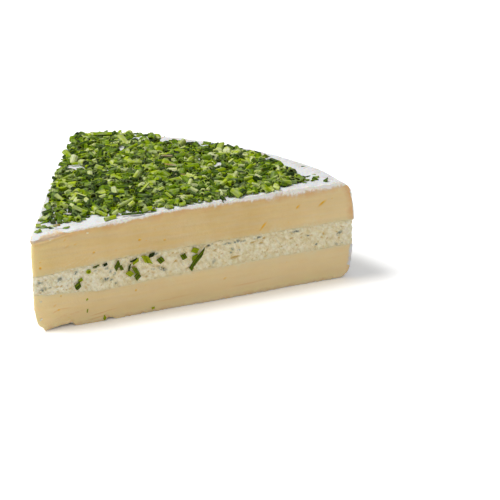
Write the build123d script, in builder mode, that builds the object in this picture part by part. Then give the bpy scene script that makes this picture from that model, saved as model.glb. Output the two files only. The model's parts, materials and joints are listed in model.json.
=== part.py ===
from build123d import *
import os
from math import radians, sin, tan

# A sixth of a filled soft cheese wheel, cut as a wedge with a 60 degree tip.
#
# Three layers run through the whole wedge: a lower and an upper half of ripened
# paste, and between them a filling of fresh cheese with herbs. Each layer is a
# slab of the whole wheel, turned about the wheel's axis and then cut out by the
# wedge's plan. The wedge stands on its flat base. Its tip points along -Y, its
# curved rim faces +Y, and the origin is the middle of its box, on the base.
# All sizes are in millimetres.

# Driving dimensions
wheel_radius = 145.0  # from the wheel's axis to the widest line of its rim
slice_angle = 60.0  # between the two cut faces

lower_thickness = 14.2  # each layer in the body of the wedge
filling_thickness = 10.8
upper_thickness = 17.0

lower_at_tip = 15.4  # each layer at the tip, where the wedge has slumped
filling_at_tip = 7.6
upper_at_tip = 15.2

top_slump_reach = 80.0  # radius inside which the top sinks towards the tip
filling_slump_reach = 45.0  # radius inside which the filling thins

rim_bulge = 3.0  # how far the middle of the rim stands out past its edges
shoulder_radius = 4.0  # rounds the rim into the top and into the base
filling_set_back = 0.7  # the filling's rim lies this far behind the paste's

tip_round = 1.2  # radius of the upright edge at the tip
tip_wear_rise = 8.0  # height of the worn corner at the foot of the tip
tip_wear_run = 5.0  # length of that wear along the base

trim_margin = 5.0  # how far what trims a layer reaches past it

# Sizes that follow from them
half_angle = radians(slice_angle / 2)
wheel_height = lower_thickness + filling_thickness + upper_thickness
tip_height = lower_at_tip + filling_at_tip + upper_at_tip
tip_recess = tip_round / sin(half_angle) - tip_round  # from the axis to the tip
axis_y = -(tip_recess + wheel_radius) / 2  # puts the origin mid-way along Y
trim_radius = wheel_radius + trim_margin
trim_height = wheel_height + trim_margin

# Sections are drawn with the radius to the right and the height upwards.
wheel_axis = Axis((0, axis_y, 0), (0, 0, 1))
section_plane = Plane(origin=(0, axis_y, 0), x_dir=(0, 1, 0), z_dir=(1, 0, 0))
plan_plane = Plane(origin=(0, axis_y, 0))
wear_plane = Plane(
    origin=(0, axis_y + tip_recess + tip_wear_run, 0),
    z_dir=(0, tip_wear_rise, tip_wear_run),
)

# Levels that ease from a height at the axis to a height in the body:
# (height at the axis, height in the body, radius where the easing ends)
filling_floor = (lower_at_tip, lower_thickness, filling_slump_reach)
filling_ceiling = (
    lower_at_tip + filling_at_tip,
    lower_thickness + filling_thickness,
    filling_slump_reach,
)
top_level = (tip_height, wheel_height, top_slump_reach)


def level_line(level, end_radius):
    """Draws a level from the axis out to end_radius."""
    at_axis, in_body, reach = level
    Spline((0, at_axis), (reach, in_body), tangents=[(1, 0), (1, 0)])
    Line((reach, in_body), (end_radius, in_body))


def draw_wheel(set_back=0.0):
    """Fills the wheel's section, from the axis to a rim set back by that much."""
    edge_radius = wheel_radius - set_back - rim_bulge
    with BuildLine() as outline:
        Line((0, tip_height), (0, 0))
        Line((0, 0), (edge_radius, 0))
        ThreePointArc(
            (edge_radius, 0),
            (edge_radius + rim_bulge, wheel_height / 2),
            (edge_radius, wheel_height),
        )
        level_line(top_level, edge_radius)
    wheel = make_face(outline.edges())
    rim_corners = wheel.vertices().sort_by(Axis.X)[-2:]
    fillet(rim_corners, radius=shoulder_radius)


def keep_under(level):
    """Trims the section to what lies under a level."""
    with BuildLine() as band:
        level_line(level, trim_radius)
        Polyline(
            (0, level[0]),
            (0, -trim_margin),
            (trim_radius, -trim_margin),
            (trim_radius, level[1]),
        )
    make_face(band.edges(), mode=Mode.INTERSECT)


def keep_over(level):
    """Trims the section to what lies over a level."""
    with BuildLine() as band:
        level_line(level, trim_radius)
        Polyline(
            (0, level[0]),
            (0, trim_height),
            (trim_radius, trim_height),
            (trim_radius, level[1]),
        )
    make_face(band.edges(), mode=Mode.INTERSECT)


def draw_wedge():
    """Fills the wedge's plan, with its tip rounded and its far side past the rim."""
    half_width = trim_radius * tan(half_angle)
    with BuildLine() as outline:
        Polyline((-half_width, trim_radius), (0, 0), (half_width, trim_radius), close=True)
    wedge = make_face(outline.edges())
    fillet(wedge.vertices().sort_by(Axis.Y)[0], radius=tip_round)


def cut_wedge(plan):
    """Cuts a turned layer down to the wedge, and wears off the foot of its tip."""
    extrude(plan.sketch, amount=trim_height, both=True, mode=Mode.INTERSECT)
    split(bisect_by=wear_plane, keep=Keep.TOP)


# Lower half of the ripened paste, with the base that the wedge stands on
with BuildPart() as lower_paste:
    with BuildSketch(section_plane):
        draw_wheel()
        keep_under(filling_floor)
    revolve(axis=wheel_axis)
    with BuildSketch(plan_plane) as lower_plan:
        draw_wedge()
    cut_wedge(lower_plan)

# Fresh cheese with herbs, which runs through the wedge from tip to rim
with BuildPart() as herb_filling:
    with BuildSketch(section_plane):
        draw_wheel(filling_set_back)
        keep_over(filling_floor)
        keep_under(filling_ceiling)
    revolve(axis=wheel_axis)
    with BuildSketch(plan_plane) as filling_plan:
        draw_wedge()
    cut_wedge(filling_plan)

# Upper half of the ripened paste, whose top sinks towards the tip
with BuildPart() as upper_paste:
    with BuildSketch(section_plane):
        draw_wheel()
        keep_over(filling_ceiling)
    revolve(axis=wheel_axis)
    with BuildSketch(plan_plane) as upper_plan:
        draw_wedge()
    cut_wedge(upper_plan)

lower_paste.part.label = "lower_paste"
herb_filling.part.label = "herb_filling"
upper_paste.part.label = "upper_paste"

os.makedirs("parts", exist_ok=True)
export_step(lower_paste.part, "parts/lower_paste.step")
export_step(herb_filling.part, "parts/herb_filling.step")
export_step(upper_paste.part, "parts/upper_paste.step")
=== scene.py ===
# A wedge of soft cheese: two halves of ripened paste, a herbed filling between them,
# a white rind outside, and a coat of chopped chives on top
import json
import random
from math import atan2, cos, hypot, pi, radians, sin, tan
from types import SimpleNamespace

import bpy
import numpy as np
from mathutils import Matrix, Vector, noise

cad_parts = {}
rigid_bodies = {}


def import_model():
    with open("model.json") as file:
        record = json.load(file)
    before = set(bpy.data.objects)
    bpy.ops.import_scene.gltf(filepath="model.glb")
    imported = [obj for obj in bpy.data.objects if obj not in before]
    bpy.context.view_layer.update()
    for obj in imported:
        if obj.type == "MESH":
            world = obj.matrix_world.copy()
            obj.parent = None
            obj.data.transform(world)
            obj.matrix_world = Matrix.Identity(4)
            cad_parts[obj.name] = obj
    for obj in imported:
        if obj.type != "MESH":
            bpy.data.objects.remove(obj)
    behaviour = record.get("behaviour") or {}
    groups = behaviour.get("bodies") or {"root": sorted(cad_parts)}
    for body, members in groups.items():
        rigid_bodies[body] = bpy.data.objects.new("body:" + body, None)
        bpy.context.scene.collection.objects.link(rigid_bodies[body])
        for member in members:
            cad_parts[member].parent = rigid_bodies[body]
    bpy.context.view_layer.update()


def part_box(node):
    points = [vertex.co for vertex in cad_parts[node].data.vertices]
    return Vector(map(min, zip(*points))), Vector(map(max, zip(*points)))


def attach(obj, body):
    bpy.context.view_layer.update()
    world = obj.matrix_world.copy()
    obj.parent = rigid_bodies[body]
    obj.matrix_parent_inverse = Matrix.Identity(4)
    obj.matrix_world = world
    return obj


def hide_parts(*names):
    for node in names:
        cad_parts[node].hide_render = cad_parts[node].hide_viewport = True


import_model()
mm = 0.001

# What the frame says about the wheel that the wedge was cut from
lowBox, fillBox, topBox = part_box("lower_paste"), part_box("herb_filling"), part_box("upper_paste")
wheel = {
    "halfAngle": radians(30),       # from the middle of the wedge to either cut
    "height": topBox[1].z,
    "tipRound": 1.2 * mm,           # radius of the upright edge at the tip
    "tipHeight": 38.2 * mm,
    "slumpReach": 80 * mm,          # the top sinks towards the tip inside this radius
    "fillingReach": 45 * mm,        # and the filling thins inside this one
    "swelling": 0.9 * mm,           # how much fuller the top is between the tip and the middle
    "rimBulge": 3 * mm,
    "shoulder": 4 * mm,
    "fillingSetBack": 0.7 * mm,
}
tipRecess = wheel["tipRound"] / sin(wheel["halfAngle"]) - wheel["tipRound"]
tipFlat = wheel["tipRound"] / tan(wheel["halfAngle"])
axisPoint = np.array([0.0, topBox[0].y - tipRecess, 0.0])
wheelRadius = topBox[1].y - axisPoint[1]

# The two cuts: the way each runs out from the wheel's axis, and the way it faces
cuts = {}
for cutName, side in (("front", 1), ("back", -1)):
    run = np.array([side * sin(wheel["halfAngle"]), cos(wheel["halfAngle"]), 0.0])
    out = np.array([side * cos(wheel["halfAngle"]), -sin(wheel["halfAngle"]), 0.0])
    cuts[cutName] = {"run": run, "out": out}
skinGap = 0.01 * mm     # how near a point lies to a face that it belongs to


def ease(t):
    t = np.clip(t, 0, 1)
    return t * t * (3 - 2 * t)


def rise(value, start, over):
    # 0 up to the start, then smoothly up to 1 over that length, both in mm
    return ease((value - start * mm) / (over * mm))


def fall(value, end, over):
    # 1 at first, and smoothly down to 0 over the length before the end, both in mm
    return ease((end * mm - value) / (over * mm))


def lookUp(value, table):
    # reads a table of (place, size) rows in mm
    return np.interp(value, *(np.array(table).T * mm))


def topLevel(r):
    sunk = wheel["tipHeight"] + (wheel["height"] - wheel["tipHeight"]) * ease(r / wheel["slumpReach"])
    return sunk + wheel["swelling"] * rise(r, 0, 14) * (1 - rise(r, 30, 50))


def ceilingLevel(r):    # between the filling and the upper half
    return topBox[0].z + (fillBox[1].z - topBox[0].z) * ease(r / wheel["fillingReach"])


def floorLevel(r):      # between the lower half and the filling
    return lowBox[1].z + (fillBox[0].z - lowBox[1].z) * ease(r / wheel["fillingReach"])


def baseLevel(r):
    return 0 * r


def rimRadius(z):
    middle = wheel["height"] / 2
    return wheelRadius - wheel["rimBulge"] * ((z - middle) / middle) ** 2


def cornerSag(r, angle):    # how far the rim sinks at its back corner, by degrees from the front cut
    return ridge["sunk"] * ease((r - ridge["from"]) / ridge["over"]) * ease((angle - ridge["sunkFrom"]) / 8)


def skinDepth(r, z):    # how deep a point of the section lies under the wheel's skin
    fromRim, fromTop, fromBase = rimRadius(z) - r, topLevel(r) - z, z
    depth = np.minimum(fromRim, np.minimum(fromTop, fromBase))
    for fromLevel in (fromTop, fromBase):
        corner = (fromRim < wheel["shoulder"]) & (fromLevel < wheel["shoulder"])
        rounded = wheel["shoulder"] - np.hypot(wheel["shoulder"] - fromRim, wheel["shoulder"] - fromLevel)
        depth = np.where(corner, rounded, depth)
    return np.maximum(depth, 0)


def grain(points, size, seed):
    # smooth noise, about -0.6 to 0.6, in lumps of that size in mm (one size, or one for each axis)
    scaled = np.asarray(points) / (np.asarray(size) * mm) + seed
    return np.array([noise.noise(Vector(p)) for p in scaled])


def selectOnly(piece):
    bpy.ops.object.select_all(action="DESELECT")
    piece.select_set(True)
    bpy.context.view_layer.objects.active = piece


def selectFaces(piece, chosen):
    # leaves exactly these faces selected for edit mode
    mesh = piece.data
    bpy.context.tool_settings.mesh_select_mode = (False, False, True)
    mesh.vertices.foreach_set("select", np.zeros(len(mesh.vertices), bool))
    mesh.edges.foreach_set("select", np.zeros(len(mesh.edges), bool))
    mesh.polygons.foreach_set("select", chosen)


def readPoints(piece):
    points = np.zeros(len(piece.data.vertices) * 3)
    piece.data.vertices.foreach_get("co", points)
    return points.reshape(-1, 3)


def writePoints(piece, points):
    piece.data.vertices.foreach_set("co", points.ravel())
    piece.data.update()


def faceCentres(piece):
    mesh = piece.data
    centres, normals = np.zeros(len(mesh.polygons) * 3), np.zeros(len(mesh.polygons) * 3)
    mesh.polygons.foreach_get("center", centres)
    mesh.polygons.foreach_get("normal", normals)
    return centres.reshape(-1, 3), normals.reshape(-1, 3)


def refine(piece, chosen, cutsEach=1):
    selectFaces(piece, chosen)
    bpy.ops.object.mode_set(mode="EDIT")
    bpy.ops.mesh.subdivide(number_cuts=cutsEach)
    bpy.ops.object.mode_set(mode="OBJECT")


def paint(piece, name, values):
    layer = piece.data.attributes.new(name, "FLOAT", "POINT")
    layer.data.foreach_set("value", np.asarray(values, np.float32))


def finishPiece(piece, material, smooth):
    piece.data.materials.clear()
    piece.data.materials.append(material)
    piece.data.polygons.foreach_set("material_index", np.zeros(len(piece.data.polygons), np.int32))
    selectOnly(piece)
    bpy.ops.object.shade_smooth_by_angle(angle=radians(smooth))
    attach(piece, "root")
    print(piece.name, "has", len(piece.data.polygons), "faces")


# Material nodes

def nodeAdder(tree):
    # a function that adds a node; an input is a value, or a socket to link
    def add(kind, inputs=None, **settings):
        node = tree.nodes.new(kind)
        for key, value in settings.items():
            setattr(node, key, value)
        for key, value in (inputs or {}).items():
            if isinstance(value, bpy.types.NodeSocket):
                tree.links.new(value, node.inputs[key])
            else:
                node.inputs[key].default_value = value
        return node

    return add


def startMaterial(name):
    material = bpy.data.materials.new(name)
    material.use_nodes = True
    tree = material.node_tree
    add = nodeAdder(tree)
    shader = tree.nodes["Principled BSDF"]
    coords = add("ShaderNodeTexCoord").outputs["Object"]

    def noiseOf(size, detail=2, stretch=None):      # lumps of that size in mm
        vector = coords
        if stretch:
            vector = add("ShaderNodeMapping", {"Vector": coords, "Scale": stretch}).outputs[0]
        wanted = {"Vector": vector, "Scale": 1 / (size * mm), "Detail": detail}
        return add("ShaderNodeTexNoise", wanted).outputs["Fac"]

    def mixOf(factor, a, b):
        a, b = [end if isinstance(end, bpy.types.NodeSocket) else (*end, 1) for end in (a, b)]
        return add("ShaderNodeMix", {0: factor, 6: a, 7: b}, data_type="RGBA").outputs[2]

    def overOf(colour, *coats):     # lays colours on, each given as (share, colour)
        for share, tone in coats:
            colour = mixOf(share, colour, tone)
        return colour

    def rangeOf(value, low, high, outLow=0, outHigh=1):
        wanted = {"Value": value, "From Min": low, "From Max": high, "To Min": outLow, "To Max": outHigh}
        return add("ShaderNodeMapRange", wanted).outputs[0]

    def patchesOf(size, detail, low, high, outLow=0, outHigh=1, stretch=None):
        return rangeOf(noiseOf(size, detail, stretch), low, high, outLow, outHigh)

    def mathOf(operation, a, b):
        return add("ShaderNodeMath", {0: a, 1: b}, operation=operation).outputs[0]

    def attributeOf(wanted):
        return add("ShaderNodeAttribute", attribute_name=wanted).outputs["Fac"]

    def finishWith(colour, roughness, height, bumpDepth, look):
        bump = add("ShaderNodeBump", {"Height": height, "Distance": bumpDepth * mm})
        tree.links.new(colour, shader.inputs["Base Color"])
        tree.links.new(roughness, shader.inputs["Roughness"])
        tree.links.new(bump.outputs[0], shader.inputs["Normal"])
        shader.inputs["Specular IOR Level"].default_value = look["gloss"]
        for key, value in look["soft"].items():
            shader.inputs["Subsurface " + key].default_value = value

    return material, SimpleNamespace(
        add=add, noise=noiseOf, mix=mixOf, over=overOf, range=rangeOf, patches=patchesOf, math=mathOf,
        attribute=attributeOf, finish=finishWith, shader=shader,
    )


def srgb(red, green, blue):
    # a colour as a paint program names it, 0 to 255, made linear for the shader
    shares = (red / 255, green / 255, blue / 255)
    return tuple(((c + 0.055) / 1.055) ** 2.4 if c > 0.04 else c / 12.92 for c in shares)


pasteLook = {
    "cream": srgb(235, 205, 143),
    "deepCream": srgb(228, 195, 130),
    "greyCream": srgb(228, 204, 160),
    # painted light: a yellow glow where the thin tip looks lit through
    "tipCream": srgb(246, 224, 156),
    # painted light: a lighter cream that stands in for more light on the paste
    "paleCream": srgb(252, 230, 184),
    "underRind": srgb(222, 166, 106),
    "pit": srgb(240, 184, 20),
    "smeared": srgb(238, 226, 188),
    "rind": srgb(225, 226, 227),
    "rindShade": srgb(212, 208, 198),
    "rindEdge": srgb(232, 212, 188),    # where the rind frays into the paste
    "rindBelow": srgb(236, 218, 190),   # darker and warmer towards the base
    "dash": srgb(206, 176, 156),
    "rindCut": srgb(252, 249, 240),     # whiter where the rind shows on the cuts
    "lip": srgb(206, 184, 154),         # the paste at the torn lip near the tip
    "lipTear": srgb(232, 224, 222),
    "rindThick": 1.15 * mm,
    "gloss": 0.25,
    "soft": {"Weight": 0.3, "Radius": (1.0, 0.55, 0.25), "Scale": 2.5 * mm},
}


def makePaste():
    material, t = startMaterial("ripenedPaste")
    look = pasteLook
    # cream that mottles slowly, with faint streaks the way the knife went
    colour = t.mix(t.patches(14, 3, 0.35, 0.65), look["cream"], look["deepCream"])
    colour = t.over(
        colour,
        (t.patches(1000, 2, 0.42, 0.72, 0, 0.5, (45, 45, 700)), look["greyCream"]),
        (t.patches(1.4, 3, 0.5, 0.75, 0, 0.35), look["deepCream"]),
        # painted light: the tip glows as if lit through
        (t.range(t.attribute("tip"), 0, 1, 0, 0.75), look["tipCream"]),
        # painted light: the paste is painted lighter where the pale attribute says
        (t.attribute("pale"), look["paleCream"]),
    )
    # orange-brown band that the rind leaves in the paste below it, and stains of the same colour
    wander = t.math("ADD", t.attribute("bandDepth"), t.patches(4, 3, 0.3, 0.7, -1 * mm, 1 * mm))
    band = t.range(wander, 0.9 * mm, 3.6 * mm, 0.62, 0)
    band = t.math("MULTIPLY", band, t.patches(9, 2, 0.3, 0.65, 0.45, 1))
    # tears in the lip, and filling that the knife dragged over the paste
    tears = t.patches(1000, 3, 0.56, 0.68, 0, 0.8, (300, 300, 1500))
    smear = t.math("MULTIPLY", t.attribute("smear"), t.patches(1.3, 3, 0.36, 0.6, 0.15, 0.85))
    colour = t.over(
        colour,
        (t.math("MAXIMUM", band, t.attribute("stain")), look["underRind"]),
        (t.attribute("lip"), t.mix(tears, look["lip"], look["lipTear"])),
        (smear, look["smeared"]),
        (t.attribute("pit"), look["pit"]),
    )
    # the white rind itself, which frays into the paste
    edge = t.math("ADD", t.attribute("rindDepth"), t.patches(1.1, 4, 0.3, 0.7, -0.3 * mm, 0.3 * mm))
    edge = t.math("ADD", edge, t.patches(5, 2, 0.3, 0.7, -0.55 * mm, 0.55 * mm))
    frayed = t.range(edge, look["rindThick"] + 0.6 * mm, look["rindThick"] - 0.1 * mm, 0, 0.85)
    white = t.range(edge, look["rindThick"] + 0.1 * mm, look["rindThick"] - 0.5 * mm)
    bloom = t.over(
        t.mix(t.patches(5, 4, 0.5, 0.75), look["rind"], look["rindShade"]),
        (t.attribute("dash"), look["dash"]),
        (t.attribute("cut"), look["rindCut"]),
        (t.attribute("below"), look["rindBelow"]),
    )
    colour = t.over(colour, (frayed, look["rindEdge"]), (white, bloom))
    felt = t.math("MULTIPLY", t.noise(0.7, 3), t.range(white, 0, 1, 0.2, 1))
    t.finish(colour, t.range(white, 0, 1, 0.48, 0.88), felt, 0.35, look)
    return material


fillingLook = {
    "curd": srgb(252, 247, 224),
    "curdShade": srgb(226, 212, 168),
    "warmCurd": srgb(253, 244, 213),    # away from the tip
    "warmShade": srgb(228, 210, 158),
    "pore": srgb(200, 158, 40),
    "paste": srgb(228, 204, 150),
    "herb": srgb(98, 120, 114),
    "herbDark": srgb(50, 68, 60),
    "gloss": 0.25,
    "soft": {"Weight": 0.25, "Radius": (1.0, 0.7, 0.4), "Scale": 1.5 * mm},
}


def makeFilling():
    material, t = startMaterial("herbFilling")
    look = fillingLook
    curd, warm = t.patches(1.7, 4, 0.34, 0.72), t.attribute("warm")
    light = t.mix(warm, look["curd"], look["warmCurd"])
    colour = t.mix(curd, light, t.mix(warm, look["curdShade"], look["warmShade"]))
    # the herbs bleed a grey green into the curd round them
    bled = t.range(t.attribute("herb"), 0, 0.72)
    herb = t.math("MULTIPLY", bled, t.patches(0.9, 2, 0.34, 0.54))
    dark = t.math("MULTIPLY", t.range(bled, 0.6, 1), t.patches(1.2, 1, 0.4, 0.58))
    smear = t.math("MULTIPLY", t.attribute("smear"), t.patches(1.3, 3, 0.36, 0.6, 0.1, 0.8))
    colour = t.over(
        colour,
        (t.patches(0.8, 3, 0.62, 0.76, 0, 0.4), look["pore"]),
        (t.range(t.attribute("pit"), 0, 1, 0, 0.9), look["pore"]),
        (herb, t.mix(dark, look["herb"], look["herbDark"])),
        (smear, look["paste"]),
    )
    t.finish(colour, t.range(curd, 0, 1, 0.52, 0.66), t.noise(0.55, 4), 0.3, look)
    return material


chiveLook = {
    # tint of a bit from 0 to 1, and its colour there
    "tints": [
        (0.00, srgb(25, 42, 6)),
        (0.10, srgb(37, 59, 0)),
        (0.32, srgb(109, 139, 22)),
        (0.56, srgb(162, 181, 62)),
        (0.76, srgb(196, 206, 124)),
        (0.90, srgb(218, 223, 172)),
        (0.98, srgb(154, 126, 70)),
    ],
    "inside": srgb(196, 208, 100),
    "shade": srgb(40, 60, 8),
    "gloss": 0.1,
    "soft": {"Weight": 0.15, "Radius": (0.7, 1.0, 0.2), "Scale": 0.5 * mm},
}


def makeChive():
    material, t = startMaterial("choppedChive")
    look = chiveLook
    tint = t.math("ADD", t.attribute("tint"), t.range(t.attribute("vein"), 0, 1, -0.06, 0.08))
    tint = t.math("ADD", tint, t.patches(2.2, 2, 0.3, 0.7, -0.05, 0.05))
    ramp = t.add("ShaderNodeValToRGB", {"Fac": tint})
    stops = ramp.color_ramp.elements
    while len(stops) < len(look["tints"]):
        stops.new(0.5)
    for stop, (place, colour) in zip(stops, look["tints"]):
        stop.position = place
        stop.color = (*colour, 1)
    colour = t.over(
        ramp.outputs[0],
        (t.math("MULTIPLY", t.attribute("inside"), 0.35), look["inside"]),
        (t.patches(1.2, 2, 0.55, 0.75, 0, 0.25), look["shade"]),
    )
    # some leaves are fresher than others, and those soaked in the cheese are more olive
    soaked = t.attribute("soaked")
    fresh = t.math("MAXIMUM", t.patches(3, 1, 0.3, 0.7, 0.67, 1.27), t.math("MULTIPLY", soaked, 1.08))
    hue = t.range(soaked, 0, 1, 0.5, 0.476)
    colour = t.add("ShaderNodeHueSaturation", {"Color": colour, "Saturation": fresh, "Hue": hue}).outputs[0]
    t.finish(colour, t.patches(1.2, 2, 0.3, 0.7, 0.4, 0.6), t.noise(0.5), 0.08, look)
    return material


# Layers of the wedge

layerMesh = {
    "tipRows": 5,
    "rows": 140,            # out from the tip to the rim
    "spinSteps": 150,
}


def buildLayer(name, low, high, rows, setBack=0):
    # a grid laid into the layer's section, then spun round the wheel's axis
    outward = np.linspace(tipFlat, wheelRadius, layerMesh["rows"])
    radii = np.concatenate([np.linspace(0, tipFlat, layerMesh["tipRows"]), outward[1:]])
    flat = startGrid(len(radii) - 1, rows)
    piece = bpy.context.object
    piece.name = piece.data.name = name
    column = np.rint((flat[:, 0] + 0.5) * (len(radii) - 1)).astype(int)
    share = flat[:, 1] + 0.5
    r = radii[column]
    z = low(r) + share * (high(r) - low(r))
    r = r * (rimRadius(z) - setBack) / wheelRadius
    # the corners where the rim meets the top and the base are rounded
    for level, side in ((topLevel, 1), (baseLevel, -1)):
        across = np.clip((r - rimRadius(z)) / wheel["shoulder"] + 1, 0, 1)
        upward = np.clip(side * (z - level(r)) / wheel["shoulder"] + 1, 0, 1)
        r = r + across * (np.sqrt(1 - upward**2 / 2) - 1) * wheel["shoulder"]
        z = z + side * upward * (np.sqrt(1 - across**2 / 2) - 1) * wheel["shoulder"]
    writePoints(piece, axisPoint + np.outer(r, cuts["front"]["run"]) + np.outer(z, (0, 0, 1)))
    bpy.ops.object.mode_set(mode="EDIT")
    bpy.ops.mesh.select_all(action="SELECT")
    # a positive angle turns clockwise here, and the back cut lies the other way
    turned = -2 * wheel["halfAngle"]
    bpy.ops.mesh.spin(steps=layerMesh["spinSteps"], angle=turned, center=axisPoint, axis=(0, 0, 1))
    bpy.ops.mesh.select_all(action="SELECT")
    bpy.ops.mesh.remove_doubles(threshold=skinGap)
    bpy.ops.mesh.normals_make_consistent(inside=False)
    bpy.ops.object.mode_set(mode="OBJECT")
    return piece


def startGrid(columns, rows):
    # a flat grid one unit wide, and its points
    bpy.ops.object.select_all(action="DESELECT")
    bpy.ops.mesh.primitive_grid_add(x_subdivisions=columns, y_subdivisions=rows, size=1)
    return readPoints(bpy.context.object)


def onCut(points, cut):
    # along a cut from the axis, and how far inside it, for each point
    rel = points - axisPoint
    return rel @ cut["run"], -(rel @ cut["out"])


def cutFaces(piece):
    centres, normals = faceCentres(piece)
    chosen = np.zeros(len(centres), bool)
    for cut in cuts.values():
        chosen |= (normals @ cut["out"] > 0.999) & (np.abs(onCut(centres, cut)[1]) < 0.1 * skinGap)
    return chosen


def nearRows(piece, rows, margin):
    # the faces of a cut that any row's mark reaches, with a margin in mm
    centres = faceCentres(piece)[0]
    chosen = np.zeros(len(centres), bool)
    for cutName, cut in cuts.items():
        along, inside = onCut(centres, cut)
        for row in rows:
            if row[0] == cutName:
                away = np.hypot(along - row[1] * mm, centres[:, 2] - row[2] * mm)
                chosen |= (away < (margin + row[3]) * mm) & (inside < 0.1 * skinGap)
    return chosen & cutFaces(piece)


# A mark on a cut is a row: (along, height, half length, half width, lean, strength), in mm
# and degrees. The cut's name is put before it.

def marksOn(front, back=()):
    return [("front", *row) for row in front] + [("back", *row) for row in back]


def markShape(along, height, row):
    # the row's strength in the middle of the mark, and 0 outside it
    dx, dz = along - row[1] * mm, height - row[2] * mm
    lean = radians(row[5])
    long = (dx * cos(lean) + dz * sin(lean)) / (row[3] * mm)
    wide = (dz * cos(lean) - dx * sin(lean)) / (row[4] * mm)
    return row[6] * np.exp(-((long**2 + wide**2) ** 1.5))


def spotBetween(dice, low, high, alongs, shares):
    # a place at random on a cut, between two levels, in mm
    s = dice.uniform(*alongs)
    share = dice.uniform(*shares)
    return s, (low(s * mm) * (1 - share) + high(s * mm) * share) / mm


def scatterMarks(seed, count, low, high, sizes, strengths, frontShare=0.5):
    # marks at random over both cuts, and small ones more often than large ones
    dice = random.Random(seed)
    rows = []
    for _ in range(count):
        s, h = spotBetween(dice, low, high, (2, 142), (0.07, 0.93))
        size = sizes[0] + (sizes[1] - sizes[0]) * dice.random() ** 3
        cutName = "front" if dice.random() < frontShare else "back"
        shape = (size * dice.uniform(1, 1.9), size * 0.6, dice.gauss(0, 25))
        rows.append((cutName, s, h, *shape, dice.uniform(*strengths)))
    return rows


def measureLayer(piece):
    points = readPoints(piece)
    rel = points - axisPoint
    r, z = np.hypot(rel[:, 0], rel[:, 1]), rel[:, 2]
    turn = np.where(r > skinGap, np.arctan2(rel[:, 0], rel[:, 1]) / wheel["halfAngle"], 0)
    depth = skinDepth(r, z)
    return SimpleNamespace(
        start=points, moved=rel.copy(), r=r, z=z, depth=depth, skin=depth < 2 * skinGap,
        turn=turn,      # 1 at the front cut, -1 at the back
        marks={name: np.zeros(len(r)) for name in ("pit", "stain", "smear", "herb")},
    )


def nearCuts(layer, reach, below=None):
    # for each cut, the points that lie within reach of it, and where they lie, with the second
    # cut's noise taken from elsewhere
    for cutIndex, (cutName, cut) in enumerate(cuts.items()):
        along, inside = onCut(layer.start, cut)
        near = inside < reach * mm
        if below is not None:
            near &= below
        near = np.flatnonzero(near)
        yield cutName, cut, near, along[near], inside[near], np.full(len(near), 50 * mm * cutIndex)


# The texture of a cut: (name in a relief, share of it, size of its lumps, seed). The last one slants
cutTexture = [
    ("wave", 1, (34, 22, 30), 3.1),
    ("lump", 1, (7, 4, 9), 7.7),
    ("streak", 1, (24, 1.1, 9), 11.3),
    ("crumb", 1, 1.5, 17.9),
    ("crumb", 0.6, 0.75, 23.3),
    ("torn", 1, (0.8, 3.5, 9), 29.9),
]
# The lip that the rind makes over the cut near the tip, in mm
lipShape = {
    "reach": (10, 9),       # along the cut, and over what length it ends
    "groove": 2.35,         # how deep under the top its lower edge lies at the tip
    "rises": (0.75, 8, 8),  # and by how much that edge rises, from where and over what length
    "grooveWide": 0.35,
    "round": 0.9,           # how far down the upper edge of the cut is rounded
}


def shapeCuts(layer, look, rows):
    # gives both cuts their texture and paints their marks
    for cutName, cut, near, s, inside, apart in nearCuts(layer, 9):
        h = layer.z[near]
        flat = np.column_stack([s, h, apart])
        slanted = flat @ ((0.77, -0.64, 0), (0.64, 0.77, 0), (0, 0, 1))
        relief = 0
        for name, share, size, seed in cutTexture:
            relief = relief + look[name] * share * grain(slanted if name == "torn" else flat, size, seed)
        # the rind is dragged a little over the cut, and near the tip it makes a thick lip
        fray = np.clip(1 - layer.depth[near] / look["frayDepth"], 0, 1)
        relief += fray * look["fray"] * (0.5 + 1.1 * grain(flat, 1.4, 41) + 0.7 * grain(flat, 4, 43))
        lip = look["lip"] * (1 - rise(s, *lipShape["reach"]))
        underTop = topLevel(s) - h
        higher, start, over = lipShape["rises"]
        groove = lipShape["groove"] * mm - higher * mm * rise(s, start, over)
        relief += lip * np.exp(-(((underTop - 0.45 * groove) / (0.4 * groove)) ** 2))
        relief -= 0.7 * lip * np.exp(-(((underTop - groove) / (lipShape["grooveWide"] * mm)) ** 2))
        relief -= look["rounded"] * np.exp(-underTop / (lipShape["round"] * mm))
        rounding = lip * np.exp(-underTop / (0.8 * mm) - inside / (1.1 * mm))
        layer.moved[near, 2] -= rounding * np.where(underTop < 4 * mm, 0.4, 0)
        for name, marks in rows.items():
            for row in marks:
                if row[0] == cutName:
                    shape = markShape(s, h, row)
                    if name == "pit":
                        relief -= look["pitDepth"] * min(row[4], 0.6) * mm * shape
                    shape = np.where(inside < skinGap, shape, 0)
                    layer.marks[name][near] = np.maximum(layer.marks[name][near], shape)
        # it all fades with distance from the cut, so that no rows of faces cross
        fade = np.exp(-inside / (3 * mm)) * ease(0.35 + s / (4 * mm))
        layer.moved[near] += np.outer(relief * fade, cut["out"])


borderWave = {
    "long": 0.55 * mm,
    "short": 0.3 * mm,
    "smear": 0.4 * mm,      # how far one layer is dragged over the other
    "smearMore": 1.5 * mm,  # and where the knife dragged more of it
    # how far the lower border sags on the front cut: (along, sag), in mm
    "sag": [(0, 0), (8, 0.6), (20, 1.0), (28, 1.7), (40, 1.4), (50, 0.7), (60, 0), (145, 0)],
}


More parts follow.
